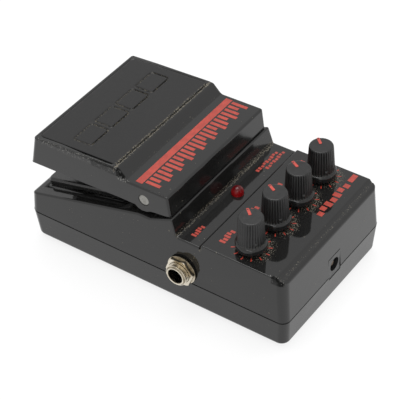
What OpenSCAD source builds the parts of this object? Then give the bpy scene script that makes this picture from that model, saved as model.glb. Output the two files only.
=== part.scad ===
// Guitar effects pedal: a drafted two-piece housing, a sprung treadle on two push-in hinge pins,
// four knobs on their potentiometers, a lamp, three phone jacks and a power inlet.
// Millimetres. +Y points away from the player, +X is the input side, +Z is up.
// The origin is on the ground under the middle of the housing. Heights in this file are
// measured from a working plane that lies `lift` over the ground.

/* [Housing] */
// Length of the housing at the parting line
body_len = 119.9; // [119.5:0.1:120.5]
// Width of the housing at the parting line
body_w = 68.3; // [68:0.1:68.6]
// Height of the parting line
parting_z = 11.85; // [11.7:0.05:12]
// Draft of the outer walls, degrees
draft = 3; // [2.8:0.1:3.4]
// Wall thickness of the upper housing
wall = 2.4; // [2.2:0.1:2.5]
// Radius of the upright corners
corner_r = 3.4; // [3.2:0.1:4]

/* [Deck and panel] */
// Height of the narrow panel that holds the lamp
band_z = 31.15; // [31:0.05:31.3]
// Height of the knob panel
panel_z = 32.4; // [32.3:0.05:32.5]
// Start of the knob panel along Y
panel_y = 22.3; // [22.2:0.1:22.5]

/* [Treadle] */
// Width of the treadle
treadle_w = 63.6; // [63.2:0.1:63.8]
// Hinge axis, Y
hinge_y = -3.76; // [-3.9:0.01:-3.6]
// Hinge axis, Z
hinge_z = 41.2; // [41.1:0.1:41.3]
// Diameter of the hinge pins
hinge_pin_d = 4.6; // [4.5:0.05:4.65]

/* [Knobs] */
// Distance between knobs
knob_pitch = 16; // [15.6:0.1:16.2]
// Row of the knobs along Y
knob_y = 38.8; // [38.5:0.1:39]
// Height of the top of a knob
knob_top_z = 47.8; // [47.5:0.1:48]
// Largest diameter of a knob, at its foot ring
knob_d = 12.2; // [12:0.1:12.6]
// Flutes round a knob
knob_flutes = 30; // [24:1:36]

/* [Jacks] */
// How far the jack bushings reach from the middle of the housing
jack_reach = 38.9; // [38.7:0.1:39.1]
// Height of the jack axes
jack_z = 17.2; // [17.1:0.1:17.4]
// Input jack along Y
input_y = 14.2; // [14:0.1:14.4]
// Distance between the two output jacks
output_pitch = 16.6; // [16:0.1:17]
// Radius of a jack's plug bore
plug_r = 3.2; // [3.18:0.01:3.25]

/* [Hidden] */
$fn = 96;
hull_fn = 32;
gap = 0.15;
eps = 0.01;
half_w = body_w / 2;
half_l = body_len / 2;
KNOBS = [1, 2, 3, 4];
JACKS = ["input_jack", "output_left_jack", "output_right_jack"];
JACK_Y = [input_y, input_y - output_pitch / 2, input_y + output_pitch / 2];
JACK_SIDE = [1, -1, -1];
SIDES = ["right", "left"];

// Colours
housing_black = [0.03, 0.03, 0.032];
rubber_black = [0.05, 0.05, 0.052];
knob_black = [0.04, 0.04, 0.042];
print_red = [0.72, 0.12, 0.08];
nickel = [0.72, 0.69, 0.62];
steel = [0.6, 0.6, 0.58];
board_green = [0.05, 0.28, 0.14];

// Base
lift = 2;
base_foot = -0.9;
tray_floor = 1.9;
tray_wall = 2.2;
tray_draft = 4.5;
tray_top = parting_z - gap;
edge_r = 2;
pad_t = 1.3;
boss_x = 28.6;
boss_y = [-54.2, 52.4];
boss_join_z = 9;
screw_r = 1.45;

// Sloping deck under the treadle: a local frame with its origin at the deck's low end
deck_y0 = -56.8;
deck_z0 = 21.6;
deck_y1 = -6.3;
deck_z1 = 34.3;
deck_a = atan2(deck_z1 - deck_z0, deck_y1 - deck_y0);
hump_y = 9.3;
hump_z = 38.5;
hump_foot_y = 11.4;
front_edge = [-59.45, 20.93];
back_edge = [58.92, 31.15];

// Battery cover, in the deck's frame
cover_s0 = 2.2;
cover_s1 = 40.6;
cover_h = 3.5;
cover_x = 27.5;
cover_hole_x = 25.2;
cover_hole_s0 = 4;
cover_hole_s1 = 36.4;

// Battery
battery_c = [-1.2, -39.05, 9.8];
battery_size = [46, 26.5, 17.5];

// Treadle
treadle_x = treadle_w / 2;
skirt = 3;
pad_x = 29.8;
pad_y0 = -54.2;
pad_y1 = -17.2;
post_r = 3.4;
post_x = [24.2, 28.3];
inner_post_x = [11.5, 14];
guide_r = 1.5;
pin_back_x = 20.6;

// Foot switch and spring, along Y
switch_y = -13;
plunger_r = 4;
plunger_top = 38.9;
spring_y = -36;
spring_z0 = 31.6;
spring_z1 = 45.6;
seat_r = 7;

// Boards
board_z = 8.9;
board_t = 1.6;
board_top = board_z + board_t;
pot_board_z = 21.8;
pot_top = panel_z - wall - 0.1;
board_post = [26, -20, 45.6];

// Jacks
bushing_r = 4.5;
nut_af = 11;
nut_turn = 8;
washer_r = 6.3;
washer_x = half_w + 0.05;
washer_t = 0.6;
nut_t = 1.5;
jack_front = 30.2;
jack_back = 8.5;
jack_half_y = 7.6;
jack_top = 23.4;

// Lamp and power inlet
lamp_y = 16.5;
lamp_r = 2.5;
lamp_dome_z = 31.9;
inlet_x = -0.4;
inlet_half_x = 4;
inlet_face = 59.6;
inlet_z = [10.5, 20.3];
inlet_axis_z = 15.7;

knob_base_z = 33.7;

function inset_at(z) = (z - parting_z) * tan(draft);
function knob_x(i) = (2.5 - i) * knob_pitch;
function deck_at(y) = deck_z0 + (y - deck_y0) * tan(deck_a);

// ---------- shared shapes ----------

module rounded_rect(hx, hy, r) {
    square([2 * hx, 2 * (hy - r)], center = true);
    square([2 * (hx - r), 2 * hy], center = true);
    for (x = [-1, 1], y = [-1, 1])
        translate([x * (hx - r), y * (hy - r)])
            circle(r);
}

// Slab of a rounded rectangle, thin, for the ends of a hull
module ring_slab(hx, hy, r, z) {
    translate([0, 0, z])
        linear_extrude(eps)
            rounded_rect(hx, hy, r, $fn = hull_fn);
}

// Block with drafted walls, drawn in by d, from the parting line to top
module drafted_block(d, top) {
    hull() {
        ring_slab(half_w - d, half_l - d, corner_r - d / 2, parting_z + gap);
        ring_slab(half_w - d - inset_at(top), half_l - d - inset_at(top), corner_r - d / 2, top);
    }
}

// Side outline in Y and Z, swept along X
module sweep_x(points, half) {
    translate([-half, 0, 0])
        rotate([90, 0, 90])
            linear_extrude(2 * half)
                polygon(points);
}

// Places children in the deck's frame: x across, y up the slope, z square to it
module on_deck() {
    translate([0, deck_y0, deck_z0])
        rotate([deck_a, 0, 0])
            children();
}

// Cylinder along +X from x0 to x1
module rod_x(r, x0, x1) {
    translate([x0, 0, 0])
        rotate([0, 90, 0])
            cylinder(r = r, h = x1 - x0);
}

module box(lo, hi) {
    translate(lo)
        cube(hi - lo);
}

// Helical spring of round wire along +Z
module coil(r, wire_r, height, turns) {
    steps = 14;
    sides = 8;
    rings = turns * steps;
    function centre(i) = [
        r * cos(360 * i / steps),
        r * sin(360 * i / steps),
        wire_r + (height - 2 * wire_r) * i / rings
    ];
    points = [
        for (i = [0:rings], k = [0:sides - 1])
            let (c = centre(i), turn = 360 * i / steps, a = 360 * k / sides)
                c + [wire_r * cos(a) * cos(turn), wire_r * cos(a) * sin(turn), wire_r * sin(a)]
    ];
    walls = [
        for (i = [0:rings - 1], k = [0:sides - 1])
            let (n = (k + 1) % sides)
                [i * sides + k, (i + 1) * sides + k, (i + 1) * sides + n, i * sides + n]
    ];
    first = [for (k = [0:sides - 1]) k];
    last = [for (k = [sides - 1:-1:0]) rings * sides + k];
    polyhedron(points, concat([first], walls, [last]), convexity = 6);
}

// Insulated wire swept along straight runs, none of them along X
module lead(points, r) {
    sides = 8;
    last = len(points) - 1;
    function along(i) =
        let (
            a = points[min(i + 1, last)] - points[min(i, last - 1)],
            b = points[max(i, 1)] - points[max(i - 1, 0)]
        )
        a / norm(a) + b / norm(b);
    rings = [
        for (i = [0:last])
            let (
                t = along(i) / norm(along(i)),
                u = cross(t, [1, 0, 0]) / norm(cross(t, [1, 0, 0])),
                v = cross(t, u)
            )
            [for (k = [0:sides - 1]) points[i] + r * (cos(360 * k / sides) * u + sin(360 * k / sides) * v)]
    ];
    walls = [
        for (i = [0:last - 1], k = [0:sides - 1])
            let (n = (k + 1) % sides, c = i * sides)
                [c + k, c + sides + k, c + sides + n, c + n]
    ];
    polyhedron(
        [for (ring = rings, p = ring) p],
        concat(
            [[for (k = [0:sides - 1]) k]],
            walls,
            [[for (k = [sides - 1:-1:0]) last * sides + k]]
        ),
        convexity = 6
    );
}

// ---------- housing ----------

module base_tray() {
    top = tray_top;
    foot_inset = (tray_top - base_foot - edge_r) * tan(tray_draft);
    color(housing_black) difference() {
        hull() {
            ring_slab(half_w, half_l, corner_r, top - eps);
            for (a = [0:22.5:90])
                ring_slab(
                    half_w - foot_inset - edge_r * (1 - cos(a)),
                    half_l - foot_inset - edge_r * (1 - cos(a)),
                    corner_r,
                    base_foot + edge_r * (1 - sin(a))
                );
        }
        difference() {
            translate([0, 0, base_foot + tray_floor])
                linear_extrude(20)
                    rounded_rect(half_w - tray_wall, half_l - tray_wall, corner_r - 1);
            for (x = [-1, 1], y = boss_y)
                translate([x * boss_x, y, -lift])
                    cylinder(r = 4, h = boss_join_z - 0.05 + lift);
            for (x = [-1, 1], y = [board_post[1], board_post[2]])
                translate([x * board_post[0], y, -lift])
                    cylinder(r = 3, h = board_z + lift);
        }
        translate([0, 0, -lift - eps])
            linear_extrude(pad_t + eps)
                rounded_rect(half_w - 3.5, half_l - 3.5, 3);
        for (x = [-1, 1], y = boss_y)
            translate([x * boss_x, y, -lift]) {
                cylinder(r = 1.65, h = 20);
                cylinder(r = 3.1, h = 5 + lift);
            }
        for (x = [-1, 1], y = [board_post[1], board_post[2]])
            translate([x * board_post[0], y, 4])
                cylinder(r = 1.1, h = 20);
        box([inlet_x - inlet_half_x - 0.15, 50, inlet_z[0] - 0.1], [inlet_x + inlet_half_x + 0.15, 70, 30]);
    }
}

module base_pad() {
    color(rubber_black) translate([0, 0, -lift])
        difference() {
            linear_extrude(pad_t)
                rounded_rect(half_w - 3.6, half_l - 3.6, 2.9);
            for (x = [-1, 1], y = boss_y)
                translate([x * boss_x, y, -1])
                    cylinder(r = 3.4, h = 5);
        }
}

// Four housing screws, heads sunk in the tray's bosses
module base_screws() {
    color(steel) for (x = [-1, 1], y = boss_y)
        translate([x * boss_x, y, 0])
            difference() {
                union() {
                    translate([0, 0, 3.2])
                        cylinder(r = 2.8, h = 1.8);
                    translate([0, 0, 3.2])
                        cylinder(r = screw_r, h = 12.5);
                }
                translate([-2, -0.4, 3])
                    cube([4, 0.8, 1.1]);
                translate([-0.4, -2, 3])
                    cube([0.8, 4, 1.1]);
            }
}

// Arc in place of the corner q between p and s, touching both lines t from q
function round_corner(p, q, s, t, n = 10) =
    let (
        a = (p - q) / norm(p - q),
        b = (s - q) / norm(s - q),
        half = acos(a * b) / 2,
        c = q + (a + b) / norm(a + b) * t / cos(half),
        u = q + a * t - c,
        v = q + b * t - c,
        from = atan2(u[1], u[0]),
        sweep = atan2(u[0] * v[1] - u[1] * v[0], u * v)
    )
    [for (i = [0:n]) let (g = from + sweep * i / n) c + norm(u) * [cos(g), sin(g)]];

function outer_profile() = concat(
    [[-60.6, 5]],
    round_corner([-60.6, 5], front_edge, [deck_y1, deck_z1], 2),
    [
        [deck_y1, deck_z1], [-0.7, 34.4], [hump_y, hump_z], [hump_foot_y, band_z],
        [panel_y - 0.7, band_z], [panel_y - 0.7, band_z - 0.95], [panel_y, band_z - 0.95],
        [panel_y, panel_z], [55.2, panel_z], [56.1, panel_z - 1.2]
    ],
    round_corner([56.1, panel_z - 1.2], back_edge, [60.8, 5], 1.5),
    [[60.8, 5]]
);

function inner_profile() = [
    [-70, 5], [-70, 14], [-57.5, 17], [deck_y0 + 0.6, deck_at(deck_y0 + 0.6) - wall * 1.04],
    [deck_y1, deck_z1 - wall * 1.02], [-0.2, 34.4 - wall], [hump_y - 1.9, hump_z - wall - 1.2],
    [hump_foot_y - 2.4, band_z - wall], [panel_y + 2.4, band_z - wall],
    [panel_y + 2.4, panel_z - wall], [52.5, panel_z - wall], [54.4, panel_z - wall - 2],
    [70, 25], [70, 5]
];

// Posts that carry one hinge pin: an outer one for its head, an inner one for its guide rod
module hinge_posts() {
    for (x = [post_x, inner_post_x]) {
        translate([0, hinge_y, hinge_z])
            rod_x(post_r, x[0], x[1]);
        box([x[0], hinge_y - post_r, 33.4], [x[1], hinge_y + post_r, hinge_z]);
    }
}

module chassis() {
    color(housing_black) difference() {
        union() {
            difference() {
                intersection() {
                    drafted_block(0, 44);
                    sweep_x(outer_profile(), 40);
                }
                intersection() {
                    translate([0, 0, -eps])
                        drafted_block(wall, 43);
                    sweep_x(inner_profile(), 40);
                }
            }
            for (x = [-1, 1])
                translate([x * boss_x, boss_y[0], boss_join_z])
                    cylinder(r = 2.9, h = deck_at(boss_y[0]) - wall - boss_join_z);
            for (x = [-1, 1])
                translate([x * boss_x, boss_y[1], boss_join_z])
                    cylinder(r = 2.9, h = panel_z - wall - 1 - boss_join_z + 1.2);
            hinge_posts();
            mirror([1, 0, 0])
                hinge_posts();
            // guide tube of the foot switch's plunger
            translate([0, switch_y, 24.2])
                cylinder(r = 5.8, h = 7);
        }
        // screw pilots
        for (x = [-1, 1], y = boss_y)
            translate([x * boss_x, y, boss_join_z - 1])
                cylinder(r = 1.5, h = 8.5);
        // battery opening and the shallow channel round its cover
        on_deck() {
            box([-cover_hole_x, cover_hole_s0, -8], [cover_hole_x, cover_hole_s1, 6]);
            difference() {
                box([-cover_x - 1.6, cover_s0 - 1.3, -0.8], [cover_x + 1.6, cover_s1 + 1.6, 6]);
                box([-cover_x - 0.1, cover_s0, -2], [cover_x + 0.1, cover_s1, 8]);
            }
        }
        // hinge pin bores
        translate([0, hinge_y, hinge_z]) {
            for (m = [0, 1])
                mirror([m, 0, 0]) {
                    rod_x(hinge_pin_d / 2 + 0.05, post_x[0] - 1, post_x[1] + 1);
                    rod_x(guide_r + 0.05, inner_post_x[0] - 1, inner_post_x[1] + 1);
                }
        }
        // plunger bores: wide above for the cap, narrow below for the stem
        translate([0, switch_y, 28.4])
            cylinder(r = plunger_r + 0.2, h = 10);
        translate([0, switch_y, 24])
            cylinder(r = 2.55, h = 10);
        // knob shafts
        for (i = KNOBS)
            translate([knob_x(i), knob_y, panel_z - wall - 1])
                cylinder(r = 3.6, h = 5);
        // lamp
        translate([0, lamp_y, band_z - wall - 1])
            cylinder(r = lamp_r + 0.1, h = 5);
        // jacks
        for (j = [0:2])
            translate([0, JACK_Y[j], jack_z])
                mirror([JACK_SIDE[j] < 0 ? 1 : 0, 0, 0])
                    rod_x(bushing_r + 0.1, 28, 36);
        // power inlet
        box([inlet_x - inlet_half_x - 0.1, 50, 5], [inlet_x + inlet_half_x + 0.1, 70, inlet_z[1] + 0.1]);
    }
}

module battery_cover() {
    color(housing_black) difference() {
        union() {
            on_deck() {
                translate([0, (cover_s0 + cover_s1) / 2, 0])
                    linear_extrude(cover_h)
                        rounded_rect(cover_x, (cover_s1 - cover_s0) / 2, 2);
                // lip that locates it in the opening
                box(
                    [-cover_hole_x + 0.2, cover_hole_s0 + 0.2, -1.8],
                    [cover_hole_x - 0.2, cover_hole_s1 - 0.2, 0.5]
                );
            }
            // level seat of the return spring
            translate([0, spring_y, 28.6])
                cylinder(r = seat_r, h = spring_z0 - 28.6);
            translate([0, spring_y, spring_z0 - 1])
                cylinder(r = 3.2, h = 3.5);
        }
        translate([0, spring_y, spring_z0])
            difference() {
                cylinder(r = seat_r, h = 10);
                cylinder(r = 3.2, h = 2.5);
            }
        // hollow for the top of the battery
        on_deck()
            box(
                [-cover_hole_x + 1.4, cover_hole_s0 + 0.8, -4],
                [cover_hole_x - 1.4, cover_hole_s1 - 1.6, cover_h - 2]
            );
    }
}

module battery() {
    c = battery_c;
    s = battery_size / 2;
    color([0.25, 0.26, 0.3]) {
        difference() {
            box(c - s, c + s);
            // the crimped rim at the terminal end
            difference() {
                box(c + [s[0] - 0.8, -s[1] - 1, -s[2] - 1], c + s + [1, 1, 1]);
                box(c + [s[0] - 2, -s[1] + 0.6, -s[2] + 0.6], c + s + [2, -0.6, -0.6]);
            }
        }
        for (t = [[-6.4, 2.9], [6.4, 3.6]])
            translate([0, c[1] + t[0], c[2]])
                rod_x(t[1], c[0] + s[0] - 0.5, c[0] + s[0] + 1.9);
    }
}

module battery_snap() {
    x0 = battery_c[0] + battery_size[0] / 2 + 0.1;
    color(rubber_black) difference() {
        box([x0, battery_c[1] - 12, battery_c[2] - 6], [x0 + 3, battery_c[1] + 12, battery_c[2] + 6]);
        for (t = [[-6.4, 2.9], [6.4, 3.6]])
            translate([0, battery_c[1] + t[0], battery_c[2]])
                rod_x(t[1] + 0.05, x0 - 1, x0 + 1.9);
    }
}

module battery_lead_red() {
    z = battery_c[2] + 1.5;
    color(print_red)
        lead([
            [23.4, -26.95, z], [23.4, -24.4, z], [20, -22.4, z + 0.3],
            [18, -21.5, 12.4], [18, -21.5, board_top]
        ], 0.7);
}

module battery_lead_black() {
    z = battery_c[2] + 4.2;
    color(rubber_black)
        lead([
            [23.4, -26.95, z], [23.4, -24, z], [19, -21.6, z + 0.6],
            [15, -21.5, 13.3], [15, -21.5, board_top]
        ], 0.7);
}

// ---------- treadle ----------

function treadle_outer() = [
    [-58.8, 35.4], [-56, 48.6], [-43, 49.5], [-30.7, 50.1], [-17.9, 50.75], [-15.6, 50.6],
    [-11.9, 46.75], [7.4, 47.2], [8.4, 38.3], [5.8, 37.6], [1.2, 37.1],
    [-0.7, 36.8], [-2.6, 35.8], [-5, 35.45], [-6.8, 36], [-8.1, 37.1], [-15.1, 37.1],
    [-28.5, 36.5], [-47.1, 35.8]
];

function treadle_inner() = [
    [-55.4, 30], [-55.4, 36], [-53.2, 44.9], [-17, 46.95], [-15.2, 46.95], [-13.4, 45.05],
    [4.9, 45.05], [5.8, 37], [5.8, 30]
];

function pad_bottom(y) = 46.9 + (y - pad_y0) * 0.0554;

function pad_profile(drop) = [
    [pad_y0, pad_bottom(pad_y0)], [pad_y1, pad_bottom(pad_y1)], [pad_y1, 50.7 - drop],
    [-30.7, 50.05 - drop], [-43, 49.45 - drop], [pad_y0, 48.65 - drop]
];

module treadle() {
    color(housing_black) difference() {
        union() {
            difference() {
                intersection() {
                    translate([0, -19.9, 30])
                        linear_extrude(25)
                            rounded_rect(treadle_x, 38.9, 1.8);
                    sweep_x(treadle_outer(), 40);
                }
                sweep_x(treadle_inner(), treadle_x - skirt);
            }
            // stiffening ribs
            for (x = [-20, 20])
                box([x - 0.8, -53.5, 41.5], [x + 0.8, -14.5, 46]);
            for (y = [-46, -24])
                box([-29, y - 0.8, 42.5], [29, y + 0.8, 45.8]);
            // cup for the return spring
            translate([0, spring_y, 42.8])
                cylinder(r = 7.2, h = 4);
            // boss that presses the switch plunger
            translate([0, switch_y, plunger_top + 0.3])
                cylinder(r = 3.5, h = 7);
        }
        translate([0, spring_y, 40])
            cylinder(r = 5.8, h = spring_z1 - 40);
        // pad recess
        intersection() {
            translate([0, (pad_y0 + pad_y1) / 2, 40])
                linear_extrude(20)
                    rounded_rect(pad_x + 0.05, (pad_y1 - pad_y0) / 2 + 0.05, 2);
            sweep_x([
                [pad_y0 - 1, pad_bottom(pad_y0 - 1) - 0.04], [pad_y1 + 1, pad_bottom(pad_y1 + 1) - 0.04],
                [pad_y1 + 1, 60], [pad_y0 - 1, 60]
            ], 40);
        }
        // hinge pin holes, right through both skirts
        translate([-40, hinge_y, hinge_z])
            rod_x(hinge_pin_d / 2 + 0.08, 0, 80);
    }
}

module treadle_pad() {
    color(rubber_black) intersection() {
        translate([0, (pad_y0 + pad_y1) / 2, 40])
            linear_extrude(20)
                rounded_rect(pad_x, (pad_y1 - pad_y0) / 2, 2);
        sweep_x(pad_profile(0.25), 40);
    }
}

module return_spring() {
    color(steel)
        translate([0, spring_y, spring_z0])
            coil(4.6, 0.5, spring_z1 - spring_z0 - 0.02, 6);
}

module hinge_pin() {
    color(nickel)
        translate([0, hinge_y, hinge_z]) {
            rod_x(hinge_pin_d / 2, pin_back_x, treadle_x - 0.1);
            rod_x(guide_r, 9.2, pin_back_x + 1);
        }
}

module hinge_clip() {
    color(steel)
        translate([0, hinge_y, hinge_z])
            difference() {
                rod_x(3, 10.9, 11.45);
                rod_x(guide_r, 10, 12);
                box([10, -0.9, -4], [12, 0.9, 0]);
            }
}

module hinge_spring() {
    color(steel)
        translate([inner_post_x[1] + 0.05, hinge_y, hinge_z])
            rotate([0, 90, 0])
                coil(1.85, 0.2, pin_back_x - inner_post_x[1] - 0.1, 6);
}

module foot_switch() {
    color([0.12, 0.12, 0.13]) difference() {
        union() {
            box([-6, switch_y - 6, board_top], [6, switch_y + 6, board_top + 5]);
            translate([0, switch_y, board_top])
                cylinder(r = 3.4, h = 7);
        }
        translate([0, switch_y, board_top + 2])
            cylinder(r = 1.8, h = 10);
    }
}

// Domed cap under the treadle's boss, and the long stem down to the switch
module switch_plunger() {
    color(knob_black)
        translate([0, switch_y, 0]) {
            intersection() {
                translate([0, 0, 29.8])
                    cylinder(r = plunger_r, h = 10);
                translate([0, 0, plunger_top - 10])
                    sphere(r = 10);
            }
            translate([0, 0, 19])
                cylinder(r = 2.5, h = 12);
            translate([0, 0, board_top + 3.6])
                cylinder(r = 1.7, h = 6);
        }
}

// ---------- electronics ----------

module main_board() {
    color(board_green) difference() {
        union() {
            box([-29.4, -24, board_z], [29.4, 48.2, board_top]);
            box([-9, 47, board_z], [9, 57.2, board_top]);
        }
        for (x = [-1, 1], y = [board_post[1], board_post[2]])
            translate([x * board_post[0], y, board_z - 1])
                cylinder(r = 1.25, h = 4);
    }
}

module board_screws() {
    color(steel) for (x = [-1, 1], y = [board_post[1], board_post[2]])
        translate([x * board_post[0], y, 0]) {
            translate([0, 0, board_top])
                cylinder(r = 2.2, h = 1.4);
            translate([0, 0, 5])
                cylinder(r = 1.05, h = board_top - 4.5);
        }
}

// Chips and capacitors soldered on the main board
module circuit_parts() {
    for (c = [[-15.5, -15], [-19, -8.5], [20, -9]])
        color([0.08, 0.08, 0.09])
            box([c[0] - 5, c[1] - 2, board_top], [c[0] + 5, c[1] + 2, board_top + 1.6]);
    for (c = [[0, 0], [0, 8], [-4, 26], [4, 26], [-14, 38], [14, 38]])
        color([0.15, 0.2, 0.5])
            translate([c[0], c[1], board_top])
                cylinder(r = 2.6, h = 7);
}

module board_link() {
    color([0.08, 0.08, 0.09])
        box([-9, 41.4, board_top], [9, 44, pot_board_z]);
}

module pot_board() {
    color(board_green) difference() {
        box([-29.6, 31.6, pot_board_z], [29.6, 46.4, pot_board_z + board_t]);
        for (i = KNOBS)
            translate([knob_x(i), knob_y, pot_board_z - 1])
                cylinder(r = 1.2, h = 4);
    }
}

module pot(i) {
    color([0.16, 0.2, 0.24]) difference() {
        translate([knob_x(i), knob_y, 0])
            box([-4.9, -5.5, pot_board_z + board_t], [4.9, 5.5, pot_top]);
        translate([knob_x(i), knob_y, pot_board_z + board_t + 1])
            cylinder(r = 3.05, h = 10);
    }
}

module pot_shaft(i) {
    color([0.75, 0.75, 0.72])
        translate([knob_x(i), knob_y, pot_board_z + board_t + 1.1])
            cylinder(r = 3, h = 44 - pot_board_z - board_t - 1.1);
}

// Fluted taper on a plain foot ring
module knob(i) {
    taper_z = knob_base_z + 2.7;
    foot_r = 5.45;
    top_r = 4.75;
    color(knob_black)
        translate([knob_x(i), knob_y, 0])
            difference() {
                union() {
                    translate([0, 0, knob_base_z])
                        cylinder(r = knob_d / 2, h = 2.1);
                    translate([0, 0, knob_base_z + 2.1])
                        cylinder(r1 = knob_d / 2, r2 = foot_r, h = 0.6);
                    translate([0, 0, taper_z - 0.2])
                        linear_extrude(knob_top_z - taper_z + 0.2, scale = top_r / foot_r)
                            polygon([
                                for (k = [0:4 * knob_flutes - 1])
                                    let (r = foot_r - (k % 4 < 2 ? 0 : 0.3), a = 90 * k / knob_flutes)
                                        r * [cos(a), sin(a)]
                            ]);
                }
                translate([0, 0, knob_base_z - 1])
                    cylinder(r = 3, h = 44 - knob_base_z + 1);
            }
}

// Red line let into the top of a knob; it points to the low end of the scale
module knob_pointer(i) {
    color(print_red)
        translate([knob_x(i), knob_y, knob_top_z])
            rotate([0, 0, 240])
                translate([0.8, -0.5, 0])
                    cube([3.7, 1, 0.12]);
}

module lamp() {
    color([0.45, 0.02, 0.03])
        translate([0, lamp_y, 0]) {
            translate([0, 0, 26])
                cylinder(r = lamp_r, h = lamp_dome_z - 26);
            translate([0, 0, lamp_dome_z])
                intersection() {
                    sphere(r = lamp_r);
                    box([-3, -3, -0.01], [3, 3, 3]);
                }
        }
}

module lamp_spacer() {
    color([0.08, 0.08, 0.09])
        translate([0, lamp_y, board_top])
            cylinder(r = 3, h = 26 - board_top);
}

module power_inlet() {
    color([0.06, 0.06, 0.065]) difference() {
        box(
            [inlet_x - inlet_half_x, 46, inlet_z[0]],
            [inlet_x + inlet_half_x, inlet_face, inlet_z[1]]
        );
        translate([inlet_x, inlet_face - 10, inlet_axis_z])
            rotate([-90, 0, 0])
                cylinder(r = 2.85, h = 20);
        translate([inlet_x, inlet_face - 12, inlet_axis_z])
            rotate([-90, 0, 0])
                cylinder(r = 1, h = 20);
    }
}

module power_inlet_pin() {
    color(nickel)
        translate([inlet_x, inlet_face - 11.9, inlet_axis_z])
            rotate([-90, 0, 0])
                cylinder(r = 0.99, h = 10.9);
}

// ---------- jacks: j picks the place ----------

module at_jack(j) {
    mirror([JACK_SIDE[j] < 0 ? 1 : 0, 0, 0])
        translate([0, JACK_Y[j], jack_z])
            children();
}

module jack_body(j) {
    color([0.07, 0.07, 0.075]) at_jack(j) difference() {
        box([jack_back, -jack_half_y, board_top - jack_z], [jack_front, jack_half_y, jack_top - jack_z]);
        rod_x(plug_r, 0, 40);
        // slots in which the contact springs stand, clear of the plug
        box([11, -0.8, -5.2], [22, 0.8, 0]);
        box([14, -0.8, 0], [26, 0.8, 5.2]);
    }
}

module jack_bushing(j) {
    chamfer = 0.4;
    color(nickel) at_jack(j) difference() {
        union() {
            rod_x(bushing_r, jack_front, jack_reach - chamfer);
            translate([jack_reach - chamfer, 0, 0])
                rotate([0, 90, 0])
                    cylinder(r1 = bushing_r, r2 = bushing_r - chamfer, h = chamfer);
        }
        rod_x(plug_r, 20, 50);
    }
}

module jack_washer(j) {
    color(nickel) at_jack(j) difference() {
        rod_x(washer_r, washer_x, washer_x + washer_t);
        rod_x(bushing_r + 0.02, 30, 40);
    }
}

module jack_nut(j) {
    color(nickel) at_jack(j) difference() {
        translate([washer_x + washer_t, 0, 0])
            rotate([90 + nut_turn, 0, 0])
                rotate([0, 90, 0])
                    cylinder(r = nut_af / sqrt(3), h = nut_t, $fn = 6);
        rod_x(bushing_r + 0.02, 30, 40);
    }
}

translate([0, 0, lift]) {
    base_tray();
    base_pad();
    base_screws();
    chassis();
    battery_cover();
    battery();
    battery_snap();
    battery_lead_red();
    battery_lead_black();
    treadle();
    treadle_pad();
    return_spring();
    foot_switch();
    switch_plunger();
    for (m = [0, 1])
        mirror([m, 0, 0]) {
            hinge_pin();
            hinge_clip();
            hinge_spring();
        }
    main_board();
    board_screws();
    circuit_parts();
    board_link();
    pot_board();
    for (i = KNOBS) {
        pot(i);
        pot_shaft(i);
        knob(i);
        knob_pointer(i);
    }
    lamp();
    lamp_spacer();
    power_inlet();
    power_inlet_pin();
    for (j = [0:2]) {
        jack_body(j);
        jack_bushing(j);
        jack_washer(j);
        jack_nut(j);
    }
}
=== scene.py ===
"""Looks of a compact effects pedal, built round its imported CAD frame.

Shapes are in millimetres until they become meshes. Heights are measured from the CAD's working plane,
which lies LIFT over the ground.
"""

import math

import bmesh
import bpy
from mathutils import Matrix, Vector


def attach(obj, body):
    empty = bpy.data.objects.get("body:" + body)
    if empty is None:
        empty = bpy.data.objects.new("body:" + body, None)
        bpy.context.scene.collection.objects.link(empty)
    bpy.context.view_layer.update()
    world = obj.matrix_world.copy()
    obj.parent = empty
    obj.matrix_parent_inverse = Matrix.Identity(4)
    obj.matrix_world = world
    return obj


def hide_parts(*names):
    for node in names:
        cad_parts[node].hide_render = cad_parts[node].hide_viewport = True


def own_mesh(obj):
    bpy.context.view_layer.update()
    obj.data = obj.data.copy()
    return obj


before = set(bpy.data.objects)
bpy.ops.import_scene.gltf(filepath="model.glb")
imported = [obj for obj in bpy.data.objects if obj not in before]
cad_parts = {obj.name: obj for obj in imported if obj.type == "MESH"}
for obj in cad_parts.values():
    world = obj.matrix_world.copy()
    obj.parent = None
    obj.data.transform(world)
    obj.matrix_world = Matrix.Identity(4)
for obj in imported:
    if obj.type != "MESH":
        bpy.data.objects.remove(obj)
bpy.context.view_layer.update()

MM = 0.001
LIFT = 2.0

HINGE_Y, HINGE_Z = -3.76, 41.2
KNOB_Y, KNOB_TOP = 38.8, 47.8
KNOB_X = [24, 8, -8, -24]
POINTER_ANGLE = [229, 240, 241, 228]
PANEL_Z, BAND_Z = 32.4, 31.15
DECK_Y, DECK_Z, DECK_SLOPE = -56.8, 21.6, math.radians(14.116)
SEAT_Y = -36      # centre of the treadle spring
LAMP_Y = 16.5
PARTING_Z = 11.85
HAIR = 0.02       # how far the rounded skins lie inside the CAD walls
JACKS = {"input_jack": (1, 14.2), "output_left_jack": (-1, 5.9), "output_right_jack": (-1, 22.5)}
JACK_Z = 17.2
THREAD_FROM, THREAD_PITCH, THREAD_TURNS = 36.35, 0.5, 4
THREAD_ROOT = 0.28      # from the start of a turn to the middle of its groove
PROUD = 0.45      # how far the rubber tread stands over its recess, above the CAD solid


# ---------- mesh helpers ----------

def mesh_from(name, points, faces):
    mesh = bpy.data.meshes.new(name)
    mesh.from_pydata([(p[0] * MM, p[1] * MM, (p[2] + LIFT) * MM) for p in points], [], faces)
    b = bmesh.new()
    b.from_mesh(mesh)
    bmesh.ops.recalc_face_normals(b, faces=b.faces)
    b.to_mesh(mesh)
    b.free()
    obj = bpy.data.objects.new(name, mesh)
    bpy.context.scene.collection.objects.link(obj)
    return obj


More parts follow.
